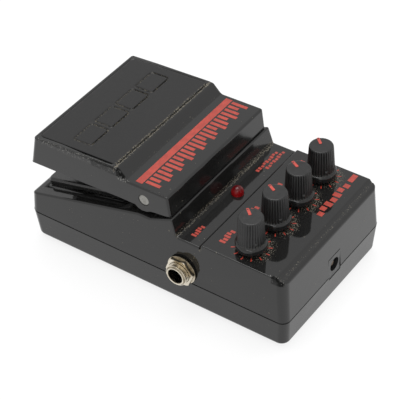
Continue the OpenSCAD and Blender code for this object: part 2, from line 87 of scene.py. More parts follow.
def bake(obj):
    """Applies the modifiers."""
    graph = bpy.context.evaluated_depsgraph_get()
    mesh = bpy.data.meshes.new_from_object(obj.evaluated_get(graph))
    obj.modifiers.clear()
    obj.data = mesh
    return obj


def combine(obj, tool, how):
    m = obj.modifiers.new("combine", "BOOLEAN")
    m.operation, m.solver, m.object = how, "EXACT", tool
    bake(obj)
    bpy.data.objects.remove(tool)
    return obj


def finish_piece(obj, material, body, nodes=(), angle=40, weighted=True):
    obj.data.materials.clear()
    obj.data.materials.append(material)
    for polygon in obj.data.polygons:
        polygon.material_index = 0
    obj.data.shade_smooth()
    obj.data.set_sharp_from_angle(angle=math.radians(angle))
    if weighted:
        m = obj.modifiers.new("normals", "WEIGHTED_NORMAL")
        m.keep_sharp = True
        m.weight = 80
    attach(obj, body)
    if nodes:
        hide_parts(*nodes)
    return obj


def cad_copy(node):
    obj = bpy.data.objects.new(node + "_copy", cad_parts[node].data.copy())
    bpy.context.scene.collection.objects.link(obj)
    b = bmesh.new()
    b.from_mesh(obj.data)
    bmesh.ops.remove_doubles(b, verts=b.verts, dist=1e-7)
    b.to_mesh(obj.data)
    b.free()
    return obj


def inset(points, d):
    """The closed outline, listed anticlockwise, moved inwards by d."""
    out = []
    for i, q in enumerate(points):
        p, s = points[i - 1], points[(i + 1) % len(points)]
        a = Vector((q[0] - p[0], q[1] - p[1])).normalized()
        b = Vector((s[0] - q[0], s[1] - q[1])).normalized()
        na, nb = Vector((-a.y, a.x)), Vector((-b.y, b.x))
        m = (na + nb).normalized()
        out.append((q[0] + m.x * d / max(m.dot(na), 0.2), q[1] + m.y * d / max(m.dot(na), 0.2)))
    return out


def prism(name, outline, half_at, rims, crosses):
    """Side outline in Y and Z swept across X, with rounded edges.
    rims are the radii along the outline, crosses the radii of the edges across X."""
    n = len(outline)
    points = [(side * half_at(z), y, z) for side in (1, -1) for y, z in outline]
    faces = [list(range(n)), list(range(2 * n - 1, n - 1, -1))]
    faces += [[i, (i + 1) % n, n + (i + 1) % n, n + i] for i in range(n)]
    obj = mesh_from(name, points, faces)
    widest = max(max(rims), max(crosses))
    weights = obj.data.attributes.new("bevel_weight_edge", "FLOAT", "EDGE")
    for e in obj.data.edges:
        a, b = sorted(e.vertices)
        if b - a == n:
            w = crosses[a]
        else:
            a, b = a % n, b % n
            w = rims[n - 1] if {a, b} == {0, n - 1} else rims[min(a, b)]
        weights.data[e.index].value = w / widest
    m = obj.modifiers.new("round", "BEVEL")
    m.limit_method, m.width, m.segments = "WEIGHT", widest * MM, 5
    m.use_clamp_overlap = False
    return bake(obj)


def rounded_loop(hx, hy, r, cx=0, cy=0, n=8):
    loop = []
    for q, (sx, sy) in enumerate([(1, 1), (-1, 1), (-1, -1), (1, -1)]):
        for i in range(n + 1):
            a = math.pi / 2 * (q + i / n)
            x, y = cx + sx * (hx - r), cy + sy * (hy - r)
            loop.append((x + r * math.cos(a), y + r * math.sin(a)))
    return loop


def band(k, j, n):
    """The faces between ring k and ring j, each of n points."""
    return [[k * n + i, k * n + (i + 1) % n, j * n + (i + 1) % n, j * n + i] for i in range(n)]


def loft(name, loops):
    """Loops of points with equal counts, joined in order, the first and last filled."""
    n = len(loops[0])
    points = [p for loop in loops for p in loop]
    faces = [list(range(n))[::-1], [(len(loops) - 1) * n + i for i in range(n)]]
    for k in range(len(loops) - 1):
        faces += band(k, k + 1, n)
    return mesh_from(name, points, faces)


def turned(name, profile, place=lambda p: p, n=64, closed=False, radius=lambda r, h, a: r):
    """Profile of (r, h) turned about the local Z axis. Open profiles start and end on the axis."""
    ring = profile if closed else profile[1:-1]
    points, faces = [], []
    for r, h in ring:
        for i in range(n):
            a = 2 * math.pi * i / n
            q = radius(r, h, a)
            points.append((q * math.cos(a), q * math.sin(a), h))
    for k in range(len(ring) if closed else len(ring) - 1):
        faces += band(k, (k + 1) % len(ring), n)
    if not closed:
        for end, base in ((profile[0], 0), (profile[-1], (len(ring) - 1) * n)):
            points.append((0, 0, end[1]))
            faces += [[len(points) - 1, base + i, base + (i + 1) % n] for i in range(n)]
    return mesh_from(name, [place(p) for p in points], faces)


def arc(cx, cy, r, a0, a1, n=5):
    angles = [math.radians(a0 + (a1 - a0) * i / n) for i in range(n + 1)]
    return [(cx + r * math.cos(a), cy + r * math.sin(a)) for a in angles]


def joined(name, parts):
    b = bmesh.new()
    for part in parts:
        b.from_mesh(part.data)
        bpy.data.objects.remove(part)
    mesh = bpy.data.meshes.new(name)
    b.to_mesh(mesh)
    b.free()
    obj = bpy.data.objects.new(name, mesh)
    bpy.context.scene.collection.objects.link(obj)
    return obj


# ---------- materials ----------

class Finish:
    """A small builder for node materials. Values may be numbers, colours or sockets."""

    def __init__(self, name):
        self.material = bpy.data.materials.new(name)
        self.material.use_nodes = True
        self.tree = self.material.node_tree
        self.surface = self.tree.nodes["Principled BSDF"]
        self.place = self.add("ShaderNodeTexCoord").outputs["Object"]
        split = self.add("ShaderNodeSeparateXYZ", Vector=self.place)
        z = self.math("SUBTRACT", split.outputs[2], LIFT * MM)
        self.axis = {"x": split.outputs[0], "y": split.outputs[1], "z": z}

    def add(self, kind, settings=(), **inputs):
        node = self.tree.nodes.new(kind)
        for key, value in dict(settings).items():
            setattr(node, key, value)
        for key, value in inputs.items():
            self.put(node.inputs[key.replace("_", " ")], value)
        return node

    def put(self, socket, value):
        if isinstance(value, bpy.types.NodeSocket):
            self.tree.links.new(value, socket)
        else:
            socket.default_value = value

    def math(self, operation, a, b=0.0, c=0.0):
        node = self.tree.nodes.new("ShaderNodeMath")
        node.operation = operation
        for socket, value in zip(node.inputs, (a, b, c)):
            self.put(socket, value)
        return node.outputs[0]

    def ramp(self, value, low, high, out_low=0.0, out_high=1.0):
        node = self.tree.nodes.new("ShaderNodeMapRange")
        node.interpolation_type = "SMOOTHSTEP"
        for socket, v in zip(node.inputs, (value, low, high, out_low, out_high)):
            self.put(socket, v)
        return node.outputs[0]

    def noise(self, scale, detail=3.0, rough=0.55):
        kind = "ShaderNodeTexNoise"
        return self.add(kind, Vector=self.place, Scale=scale, Detail=detail, Roughness=rough).outputs[0]

    def times(self, *values):
        out = values[0]
        for v in values[1:]:
            out = self.math("MULTIPLY", out, v)
        return out

    def most(self, *values):
        out = values[0]
        for v in values[1:]:
            out = self.math("MAXIMUM", out, v)
        return out

    def near(self, axis, value, width):
        """1 close to that place along the axis, 0 beyond width, in millimetres."""
        d = self.math("ABSOLUTE", self.math("SUBTRACT", self.axis[axis], value * MM))
        return self.ramp(d, width * 0.25 * MM, width * MM, 1.0, 0.0)

    def within(self, axis, low, high, soft=0.4):
        a = self.ramp(self.axis[axis], (low - soft) * MM, (low + soft) * MM)
        b = self.ramp(self.axis[axis], (high - soft) * MM, (high + soft) * MM, 1.0, 0.0)
        return self.math("MULTIPLY", a, b)

    def mix(self, factor, a, b):
        node = self.tree.nodes.new("ShaderNodeMix")
        node.data_type = "RGBA"
        self.put(node.inputs[0], factor)
        self.put(node.inputs[6], a)
        self.put(node.inputs[7], b)
        return node.outputs[2]

    def bump(self, height, strength, distance=0.1):
        node = self.add("ShaderNodeBump", Height=height, Strength=strength, Distance=distance * MM)
        self.put(self.surface.inputs["Normal"], node.outputs[0])

    def done(self, color, roughness, metallic=0.0, ior=1.5, **more):
        s = self.surface
        self.put(s.inputs["Base Color"], color)
        self.put(s.inputs["Roughness"], roughness)
        self.put(s.inputs["Metallic"], metallic)
        s.inputs["IOR"].default_value = ior
        for key, value in more.items():
            self.put(s.inputs[key.replace("_", " ")], value)
        return self.material


def rgb(r, g, b):
    return (r, g, b, 1.0)


DUST = rgb(0.14, 0.125, 0.095)


def paint(name, dirt, wear=None, rough=(0.03, 0.08), dulled_and_shaded=None, nick=None, sheen=0.46):
    """Gloss black paint. dirt, wear, dull and nick return where dust lies, where the paint has rubbed,
    where it has lost its gloss and where it is knocked off. The parting groove is painted near-black without
    sheen, as painted shade between the parts."""
    f = Finish(name)
    broad = f.noise(70, 4)
    fine = f.noise(2000, 3, 0.7)
    grain = f.noise(2600, 2, 0.8)
    place = dirt(f)
    haze = f.times(place, 0.16)
    specks = f.times(f.ramp(f.math("ADD", fine, haze), 0.66, 0.72), f.ramp(place, 0.05, 0.6))
    stray = f.ramp(f.noise(900, 2, 0.6), 0.735, 0.75)
    dust = f.most(specks, f.times(stray, 0.8))
    color = f.mix(dust, rgb(0.0095, 0.0094, 0.0092), DUST)
    roughness = f.most(f.ramp(broad, 0.3, 0.7, *rough), f.times(dust, 0.8), haze)
    if dulled_and_shaded:
        roughness = f.most(roughness, dulled_and_shaded(f))
    if wear:
        rub = f.times(wear(f), f.ramp(f.noise(1900, 3, 0.75), 0.55, 0.62))
        color = f.mix(rub, color, rgb(0.42, 0.41, 0.38))
        roughness = f.most(roughness, f.times(rub, 0.6))
    f.bump(f.math("ADD", f.times(broad, 0.6), f.times(grain, 0.02)), 0.12, 0.6)
    # painted shade: the parting groove between tray and housing is painted near-black and loses its sheen;
    # nicks darken the paint the same way
    parting_shade_and_nicks = f.within("z", PARTING_Z - 0.27, PARTING_Z + 0.29, 0.05)
    if nick:
        parting_shade_and_nicks = f.most(parting_shade_and_nicks, f.times(nick(f), f.ramp(f.noise(700, 3, 0.6), 0.36, 0.46)))
    color = f.mix(parting_shade_and_nicks, color, rgb(0.005, 0.005, 0.005))
    return f.done(color, roughness, Specular_IOR_Level=f.ramp(parting_shade_and_nicks, 0.0, 1.0, sheen, 0.05))


def plain(name, color, roughness, metallic=0.0, mottle=0.05, grain=0.0, scale=400):
    f = Finish(name)
    n = f.noise(scale, 4)
    dark = [c * (1 - 3 * mottle) for c in color]
    tone = f.mix(f.ramp(n, 0.35, 0.65), rgb(*dark), rgb(*color))
    if grain:
        f.bump(f.noise(scale * 4, 3, 0.7), grain, 0.1)
    return f.done(tone, f.ramp(n, 0.3, 0.7, roughness * 0.85, min(1, roughness * 1.15)), metallic)


def housing_dirt(f):
    foot = f.times(f.near("y", 11.6, 1.3), f.within("z", 30.4, 32.6))
    foot = f.times(foot, f.ramp(f.axis["x"], -32 * MM, 20 * MM, 1.05, 0.75))
    step = f.times(f.near("y", 56.6, 1.3), f.within("z", 30.4, 32.2), 0.45)
    groove = f.times(f.near("y", 22.0, 0.7), f.within("z", 29, 31))
    rings = []
    for x in KNOB_X:
        dx = f.math("SUBTRACT", f.axis["x"], x * MM)
        dy = f.math("SUBTRACT", f.axis["y"], KNOB_Y * MM)
        d = f.math("SQRT", f.math("ADD", f.math("POWER", dx, 2.0), f.math("POWER", dy, 2.0)))
        drift = f.ramp(f.math("SUBTRACT", dy, dx), -4 * MM, 8 * MM, 0.35, 1.0)
        rings.append(f.times(f.ramp(d, 5.8 * MM, 12 * MM, 1.0, 0.0), drift))
    ring = f.times(f.most(*rings), f.within("z", 31.8, 33))
    deck = f.times(f.within("y", -58.5, -4), f.within("z", 21.2, 35), 0.22, f.within("x", -31.6, 31.6))
    hump = f.times(f.within("y", 9.6, 11.2), f.ramp(f.axis["x"], -30 * MM, 10 * MM, 0.34, 0.12))
    return f.most(foot, step, groove, ring, deck, hump)


def housing_wear(f):
    return f.times(f.near("x", 32.4, 0.9), f.within("y", 52.5, 58.4), f.within("z", 29.8, 33))


def housing_dull(f):
    return f.times(f.within("y", 9.2, 11.6), f.within("z", 31.4, 38), 0.13)


def housing_nick(f):
    return f.times(f.near("x", 32.6, 1.0), f.within("z", 29.4, 33), f.within("y", 53, 58.6))


def treadle_dirt(f):
    crease = f.times(f.near("y", -12.2, 1.0), f.within("z", 46, 47.6), 0.32)
    pad_edge = f.times(f.near("y", -16.9, 0.9), f.within("z", 49, 51.5))
    rim = f.times(f.near("x", 30.2, 0.7), f.within("z", 48, 51), 0.22)
    return f.most(crease, pad_edge, rim)


def treadle_wear(f):
    rim = f.times(f.near("x", 31.4, 0.8), f.within("z", 47.4, 50.6), f.within("y", -58, -16), 0.3)
    slope = f.times(f.near("x", 31.4, 0.7), f.within("y", -16, -10.5), f.within("z", 46, 51), 0.6)
    return f.most(rim, slope)


def treadle_dull(f):
    return f.times(f.ramp(f.axis["y"], 6.8 * MM, 7.6 * MM), 0.16)


def treadle_nick(f):
    edge = f.times(f.near("x", 31.2, 1.3), f.within("y", -16.2, -12.6))
    rim = f.times(f.near("x", 31.5, 0.6), f.within("y", -28, -16), 0.6)
    return f.times(f.most(edge, rim), f.within("z", 47.3, 51))


def tray_dirt(f):
    return f.times(f.within("z", -2, 1), 0.4)


def cover_dirt(f):
    return f.times(f.within("z", 20, 36), 0.3)


HOUSING_PAINT = paint("housing_paint", housing_dirt, housing_wear, dulled_and_shaded=housing_dull, nick=housing_nick)
TREADLE_PAINT = paint("treadle_paint", treadle_dirt, treadle_wear, dulled_and_shaded=treadle_dull, nick=treadle_nick)
TRAY_PAINT = paint("tray_paint", tray_dirt, rough=(0.1, 0.2), sheen=0.41)
COVER_PAINT = paint("cover_paint", cover_dirt, rough=(0.12, 0.22))


def pad_rubber():
    f = Finish("pad_rubber")
    n = f.noise(260, 5, 0.6)
    edge = f.near("y", -17.6, 0.9)
    # the unmarked top of the tread, taken as one plane
    level = f.math("MULTIPLY_ADD", f.axis["y"], 0.0488, (51.3 + PROUD) * MM)
    sunk_in = f.ramp(f.math("SUBTRACT", level, f.axis["z"]), 0.1 * MM, 0.3 * MM)
    sunk_in = f.times(sunk_in, f.within("y", -42.5, -31.5), 0.75)
    low = f.ramp(f.noise(1500, 3, 0.75), 0.5, 0.6)
    dust = f.times(low, f.most(edge, sunk_in, 0.03))
    color = f.mix(dust, f.mix(n, rgb(0.0085, 0.0085, 0.0087), rgb(0.013, 0.013, 0.0132)), DUST)
    # painted shade: the tread's side walls are painted near-black and lose their sheen, standing in for the
    # shadow in the gap round the tread
    side = f.ramp(f.math("ABSOLUTE", f.axis["x"]), 29.5 * MM, 29.7 * MM)
    color = f.mix(side, color, rgb(0.002, 0.002, 0.002))
    f.bump(f.noise(3200, 3, 0.7), 0.12, 0.05)
    sheen = f.ramp(side, 0.0, 1.0, 0.5, 0.0)
    return f.done(color, f.ramp(n, 0.3, 0.7, 0.34, 0.46), ior=1.34, Specular_IOR_Level=sheen)


def knob_plastic(index):
    f = Finish(f"knob_plastic_{index}")
    n = f.noise(500, 4, 0.6)
    dust = f.times(f.ramp(f.noise(1500, 3, 0.7), 0.56, 0.7), f.within("z", 36.2, 38.0, 0.8), 0.5)
    haze = f.ramp(n, 0.3, 0.7, 0.009, 0.015 if index == 1 else 0.012)
    base = f.add("ShaderNodeCombineColor", Red=haze, Green=haze, Blue=haze).outputs[0]
    f.bump(f.noise(2600, 2, 0.7), 0.08, 0.05)
    # the flange under the flutes is glossier
    roughness = f.times(f.ramp(n, 0.3, 0.7, 0.28, 0.4), f.ramp(f.axis["z"], 36.3 * MM, 36.9 * MM, 0.35, 1.0))
    return f.done(f.mix(dust, base, DUST), roughness, ior=1.42)


def printed_red():
    f = Finish("print_red")
    n = f.noise(420, 4, 0.65)
    worn = f.ramp(f.noise(1600, 3, 0.8), 0.72, 0.77)
    color = f.mix(f.ramp(n, 0.35, 0.65), rgb(0.31, 0.031, 0.019), rgb(0.4, 0.042, 0.025))
    return f.done(f.mix(worn, color, rgb(0.03, 0.012, 0.012)), 0.42)


def nickel():
    """Plated brass, coloured by facing as painted light and shade: the end faces are painted light,
    the faces round the axis darker, and the grooves of the thread are painted dark as painted shade."""
    f = Finish("nickel")
    n = f.noise(500, 4)
    out = f.axis["out"] = f.math("ABSOLUTE", f.axis["x"])
    normal = f.add("ShaderNodeTexCoord").outputs["Normal"]
    facing = f.math("ABSOLUTE", f.add("ShaderNodeSeparateXYZ", Vector=normal).outputs[0])
    # painted light and shade: faces looking along the axis get the light tone, faces round the axis the dark
    # one
    bright = f.mix(f.ramp(n, 0.35, 0.65), rgb(0.6, 0.55, 0.45), rgb(0.74, 0.68, 0.57))
    dulled_and_shaded = f.mix(f.ramp(n, 0.35, 0.65), rgb(0.2, 0.17, 0.12), rgb(0.36, 0.31, 0.23))
    color = f.mix(f.ramp(facing, 0.74, 0.92), dulled_and_shaded, bright)
    along = f.math("SUBTRACT", out, (THREAD_FROM + THREAD_ROOT) * MM)
    deep = f.ramp(f.math("COSINE", f.times(along, 2 * math.pi / (THREAD_PITCH * MM))), 0.0, 0.8)
    threaded = f.within("out", THREAD_FROM, THREAD_FROM + THREAD_TURNS * THREAD_PITCH, 0.1)
    # painted shade: the grooves of the thread are darkened
    groove = f.times(deep, f.ramp(facing, 0.8, 0.95, 0.75, 0.0), threaded)
    color = f.mix(groove, color, rgb(0.05, 0.042, 0.03))
    f.bump(f.noise(2000, 3, 0.7), 0.05, 0.1)
    return f.done(color, f.ramp(n, 0.3, 0.7, 0.2, 0.32), 1.0)


RED = printed_red()
POINTER_RED = plain("pointer_red", (0.47, 0.05, 0.034), 0.45)
NICKEL = nickel()
INLET_PIN = plain("inlet_pin", (0.16, 0.12, 0.09), 0.5, 0.8, 0.1)
PIN_STEEL = plain("pin_steel", (0.3, 0.295, 0.275), 0.42, 0.85, 0.08, 0.15, 700)
WIRE = plain("spring_wire", (0.42, 0.42, 0.41), 0.28, 1.0)
SCREW = plain("screw_steel", (0.5, 0.5, 0.5), 0.34, 1.0)
JACK_BODY = plain("jack_body", (0.055, 0.054, 0.05), 0.35)
MOULDED = plain("moulded_black", (0.016, 0.016, 0.0165), 0.34)
SWITCH_BLACK = plain("switch_black", (0.014, 0.014, 0.0145), 0.22)
MAT = plain("base_mat", (0.018, 0.018, 0.018), 0.85, 0.0, 0.1, 0.5, 900)
BOARD = plain("board_green", (0.012, 0.09, 0.04), 0.35)
PARTS = plain("circuit_parts", (0.03, 0.04, 0.11), 0.4)
POT = plain("pot_case", (0.05, 0.07, 0.09), 0.45)
SHAFT = plain("pot_shaft", (0.62, 0.62, 0.6), 0.3, 1.0)
BATTERY = plain("battery_case", (0.09, 0.1, 0.13), 0.35)
LEAD_RED = plain("lead_red", (0.35, 0.02, 0.015), 0.4)
LEAD_BLACK = plain("lead_black", (0.014, 0.014, 0.014), 0.4)


def lamp_plastic():
    f = Finish("lamp_red")
    n = f.noise(900, 3)
    # painted light: the dome is painted bright red at its foot and dark red at its top, for light gathering
    # low in the plastic
    color = f.mix(f.ramp(f.axis["z"], 31.2 * MM, 34.4 * MM), rgb(0.34, 0.006, 0.008), rgb(0.07, 0.002, 0.003))
    return f.done(color, f.ramp(n, 0.3, 0.7, 0.05, 0.1), ior=1.36)


# ---------- housing ----------

DRAFT = math.tan(math.radians(3))
POST_R = 3.4
POST_DROP = 8.0     # how far the legs of a post run below the hinge
POST_EDGE = 0.3
RING_POINTS = 40


def side_at(z):
    return 34.15 - (z - PARTING_Z) * DRAFT


def end_at(z):
    return 59.95 - (z - PARTING_Z) * DRAFT


def post(x0, x1, bore):
    """An arch on straight legs from x0 to x1, with a bore along the hinge."""
    outer, inner = [], []
    for i in range(RING_POINTS):
        a = 2 * math.pi * i / RING_POINTS
        c, s = math.cos(a), math.sin(a)
        k = POST_R
        if s < 0:
            k = POST_R / max(abs(c), abs(s) * POST_R / POST_DROP)
        outer.append((HINGE_Y + k * c, HINGE_Z + k * s))
        inner.append((HINGE_Y + bore * c, HINGE_Z + bore * s))
    loops = []
    for x, ring, d in (
        (x0, inner, 0), (x0, outer, POST_EDGE), (x0 + POST_EDGE, outer, 0),
        (x1 - POST_EDGE, outer, 0), (x1, outer, POST_EDGE), (x1, inner, 0),
    ):
        k = 1 - d / POST_R
        loops.append([(x, HINGE_Y + (y - HINGE_Y) * k, HINGE_Z + (z - HINGE_Z) * k) for y, z in ring])
    faces = []
    for k in range(len(loops)):
        faces += band(k, (k + 1) % len(loops), RING_POINTS)
    return mesh_from("post", [p for loop in loops for p in loop], faces)


def posts():
    spans = ((24.2, 28.3, 2.35), (11.5, 14.0, 1.55), (-28.3, -24.2, 2.35), (-14.0, -11.5, 1.55))
    return [post(*span) for span in spans]


def chassis():
    outline = [
        (-end_at(12.01), 12.01), (-59.45, 20.93), (-6.3, 34.3), (-0.7, 34.4), (9.3, 38.5), (11.4, 31.15),
        (21.6, 31.15), (21.6, 30.2), (22.3, 30.2), (22.3, 32.4), (55.2, 32.4), (56.1, 31.2), (58.9, 31.15),
        (end_at(12.01), 12.01),
    ]
    rims = [3.4, 0.8, 0.8, 0.7, 0.5, 0.7, 0.2, 0.2, 0.6, 0.5, 0.4, 0.7, 3.4, 0.2]
    crosses = [0.2, 1.9, 0, 0.5, 0.8, 0.5, 0.25, 0.15, 0.15, 0.5, 0.5, 0.4, 1.5, 0.2]
    outline = inset(outline[::-1], HAIR)[::-1]
    skin = prism("chassis_skin", outline, lambda z: side_at(z) - HAIR, rims, crosses)
    body = combine(cad_copy("chassis"), skin, "INTERSECT")
    body = joined("housing_top", [body, *posts()])
    finish_piece(body, HOUSING_PAINT, "housing", ["chassis"])


def tray():
    # the rounded foot, then the leaning wall, then the edge of the parting groove
    steps = [math.radians(90 - 9 * i) for i in range(11)]
    levels = [(1.1 - 2 * math.sin(a), 0.83 + 2 * (1 - math.cos(a))) for a in steps]
    levels += [(11.4, HAIR), (11.6, 0.06), (11.69, 0.2)]
    loops = []
    for z, d in levels:
        loops.append([(x, y, z) for x, y in rounded_loop(34.08 - d, 59.88 - d, 3.4, n=10)])
    skin = loft("tray_skin", loops)
    body = combine(cad_copy("base_tray"), skin, "INTERSECT")
    body.name = "housing_tray"
    finish_piece(body, TRAY_PAINT, "housing", ["base_tray"])


def on_deck(x, s, h):
    c, k = math.cos(DECK_SLOPE), math.sin(DECK_SLOPE)
    return (x, DECK_Y + s * c - h * k, DECK_Z + s * k + h * c)


def cover():
    edge, top = 1.08, 2.4
    levels = [(-6, 0), (top, 0)]
    for a in (math.radians(18 * i) for i in range(1, 6)):
        levels.append((top + edge * math.sin(a), edge * (1 - math.cos(a))))
    loops = []
    for h, d in levels:
        loops.append([on_deck(x, s, h) for x, s in rounded_loop(27.48 - d, 19.18 - d, 2.1, 0, 21.4)])
    skin = loft("cover_skin", loops)
    profile = [(0, 24), (6.97, 24), *arc(6.57, 31.18, 0.4, 0, 90, 4), (3.19, 31.58), (3.19, 33.6)]
    profile += [*arc(2.79, 33.68, 0.4, 0, 90, 4), (0, 34.08)]
    seat = turned("seat", profile, lambda p: (p[0], p[1] + SEAT_Y, p[2]), 48)
    combine(skin, seat, "UNION")
    body = combine(cad_copy("battery_cover"), skin, "INTERSECT")
    body.name = "battery_bay_cover"
    finish_piece(body, COVER_PAINT, "housing", ["battery_cover"])


# ---------- treadle ----------

def treadle():
    outline = [
        (-58.8, 35.4), (-56, 48.6), (-43, 49.5), (-30.7, 50.1), (-17.9, 50.75), (-15.6, 50.6),
        (-11.9, 46.75), (7.4, 47.2), (8.4, 38.3), (5.8, 37.6), (1.2, 37.1), (-0.7, 36.8), (-2.6, 35.8),
        (-5, 35.45), (-6.8, 36), (-8.1, 37.1), (-15.1, 37.1), (-28.5, 36.5), (-47.1, 35.8),
    ]
    n = len(outline)
    rims = [1.8, 0.8, 0.8, 0.8, 0.8, 0.8, 0.8, 1.0] + [0.3] * (n - 8)
    crosses = [0.5, 0.7, 0, 0, 0, 0.9, 1.2, 1.0, 0.15] + [0] * (n - 9)
    outline = inset(outline[::-1], HAIR)[::-1]
    skin = prism("treadle_skin", outline, lambda z: 31.8 - HAIR, rims, crosses)
    body = combine(cad_copy("treadle"), skin, "INTERSECT")
    body.name = "treadle_shell"
    finish_piece(body, TREADLE_PAINT, "treadle", ["treadle"])


def pad_top(y):
    table = [(-54.2, 48.4), (-43.0, 49.2), (-30.7, 49.8), (-17.2, 50.45)]
    for (y0, z0), (y1, z1) in zip(table, table[1:]):
        if y <= y1:
            return z0 + (z1 - z0) * (y - y0) / (y1 - y0)
    return table[-1][1]


# Sunk outlines in the tread: plain frames, each (x centre, y centre, half length, half height, corner)
SUNK_FRAMES = [(x, -37, 5.6, 4.2, 1.0) for x in (-19.5, -6.5, 6.5, 19.5)]


def sunk(x, y):
    depth = 0.0
    for cx, cy, hx, hy, r in SUNK_FRAMES:
        dx, dy = abs(x - cx) - hx + r, abs(y - cy) - hy + r
        d = abs(math.hypot(max(dx, 0), max(dy, 0)) + min(max(dx, dy), 0) - r) - 0.35
        t = min(max((0.12 - d) / 0.3, 0), 1)
        depth = max(depth, 0.5 * t * t * (3 - 2 * t))
    return depth


def pad():
    hx, hy, r, cy = 29.8, 18.35, 2.0, -35.75
    step = 0.25
    nx, ny = int(2 * hx / step), int(2 * hy / step)
    points, faces = [], []
    for j in range(ny + 1):
        for i in range(nx + 1):
            x, y = -hx + 2 * hx * i / nx, cy - hy + 2 * hy * j / ny
            dx, dy = abs(x) - hx + r, abs(y - cy) - hy + r
            if dx > 0 and dy > 0 and math.hypot(dx, dy) > r:
                k = r / math.hypot(dx, dy)
                x = math.copysign(hx - r + dx * k, x)
                y = cy + math.copysign(hy - r + dy * k, y - cy)
                dx, dy = dx * k, dy * k
            d = -(math.hypot(max(dx, 0), max(dy, 0)) + min(max(dx, dy), 0) - r)
            edge = max(0.0, 0.4 - d)
            drop = 0.4 - math.sqrt(max(0.0, 0.16 - edge * edge))
            points.append((x, y, pad_top(y) + PROUD - drop - sunk(x, y)))
    w = nx + 1
    for j in range(ny):
        faces += [[j * w + i, j * w + i + 1, (j + 1) * w + i + 1, (j + 1) * w + i] for i in range(nx)]
    border = list(range(w)) + [(j + 1) * w - 1 for j in range(1, ny + 1)]
    border += [ny * w + i for i in range(nx - 1, -1, -1)] + [j * w for j in range(ny - 1, 0, -1)]
    base = len(points)
    points += [(points[k][0], points[k][1], pad_top(points[k][1]) - 1.5) for k in border]
    m = len(border)
    faces += [[border[i], base + i, base + (i + 1) % m, border[(i + 1) % m]] for i in range(m)]
    faces.append([base + i for i in range(m)])
    obj = mesh_from("tread_pad", points, faces)
    finish_piece(obj, pad_rubber(), "treadle", ["treadle_pad"], 50, False)


def coil(name, place, r, wire, height, turns, closed_turns, sides=10, steps=22):
    rings = int(turns * steps)
    points, faces = [], []
    for i in range(rings + 1):
        t = i / steps
        free = turns - 2 * closed_turns
        rise = height - 2 * wire - 2 * closed_turns * 2 * wire
        if t < closed_turns:
            h = 2 * wire * t
        elif t > turns - closed_turns:
            h = height - 2 * wire - 2 * wire * (turns - t)
        else:
            h = 2 * wire * closed_turns + rise * (t - closed_turns) / free
        a = 2 * math.pi * t
        for k in range(sides):
            b = 2 * math.pi * k / sides
            q = r + wire * math.cos(b)
            points.append(place((q * math.cos(a), q * math.sin(a), wire + h + wire * math.sin(b))))
    for i in range(rings):
        faces += band(i, i + 1, sides)
    faces += [list(range(sides))[::-1], [rings * sides + k for k in range(sides)]]
    return mesh_from(name, points, faces)


def springs():
    foot = 31.6
    obj = coil("treadle_spring", lambda p: (p[0], p[1] + SEAT_Y, p[2] + foot + 0.02), 4.6, 0.5, 13.95, 6, 0.9)
    finish_piece(obj, WIRE, "housing", ["return_spring"], 60, False)
    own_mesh(obj)
    start = 14.05
    for side, sx in (("right", 1), ("left", -1)):
        def place(p):
            return (sx * (p[2] + start + 0.01), HINGE_Y + p[0], HINGE_Z + p[1])

        obj = coil(f"pin_spring_{side}", place, 1.85, 0.2, 6.44, 7, 0.9, 8, 18)
        finish_piece(obj, WIRE, "housing", [f"hinge_spring_{side}"], 60, False)
        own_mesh(obj)


def hinge_pins():
    for side, sx in (("right", 1), ("left", -1)):
        profile = [(0, 9.2), (1.3, 9.2), (1.5, 9.4), (1.5, 20.6), (2.2, 20.6), (2.3, 20.7)]
        profile += [*arc(1.95, 31.35, 0.35, 0, 90, 4), (0.9, 31.7), (0.7, 31.55), (0, 31.55)]

        def place(p):
            return (sx * p[2], HINGE_Y + p[0], HINGE_Z + p[1])

        obj = turned(f"push_pin_{side}", profile, place, 48)
        finish_piece(obj, PIN_STEEL, f"hinge_pin_{side}", [f"hinge_pin_{side}"], 35)


# ---------- knobs ----------

FLUTES = 30
FLUTE_DEPTH = 0.34
FLUTE_FOOT, FLUTE_TOP = 36.45, 47.78
SKIRT_R, SKIRT_Z = 5.38, 36.8
NUB_ANGLE, NUB_Z, NUB_R, NUB_PROUD = math.radians(52), 38.3, 0.6, 0.3
LINE_MID, LINE_HX, LINE_HY = 2.88, 2.02, 0.55    # the pointer line, along and across it
CHAMFER_R = 4.25


def fluted(r, h, a):
    """Flutes on the side of the knob, and a small round nub near the foot."""
    if r < 4.2 or h < FLUTE_FOOT:
        return r
    depth = FLUTE_DEPTH * min(1, (h - FLUTE_FOOT) / 0.3) * min(1, max(0, (FLUTE_TOP - h) / 0.6))
    wave = 0.5 - 0.5 * math.cos(a * FLUTES)
    across = (a - NUB_ANGLE) * 5.3
    nub = NUB_PROUD * math.sqrt(max(0.0, 1 - (across * across + (h - NUB_Z) ** 2) / NUB_R ** 2))
    return r - depth * wave ** 1.6 * (0.0 if nub else 1.0) + nub


def knob_profile():
    rings = [(0, 44.1), (3.05, 44.1), (3.05, 33.75), (5.75, 33.7), (6.0, 33.78), (6.1, 34.0), (6.1, 35.7)]
    rings += [(6.05, 35.95), (5.88, 36.2), (5.65, 36.34), (5.5, 36.4), (5.42, 36.5), (SKIRT_R, SKIRT_Z)]
    heights = [37.3, *(37.6 + 0.12 * i for i in range(13)), 39.4, 41, 43, 45, 47]
    rings += [(SKIRT_R - 0.6 * (h - SKIRT_Z) / 10.2, h) for h in heights]
    rings += [(4.74, 47.25), (4.66, 47.5), (4.5, 47.68), (4.28, 47.78), (4.0, KNOB_TOP), (3.4, 47.76)]
    return rings + [(2.0, 47.74), (0, 47.74)]


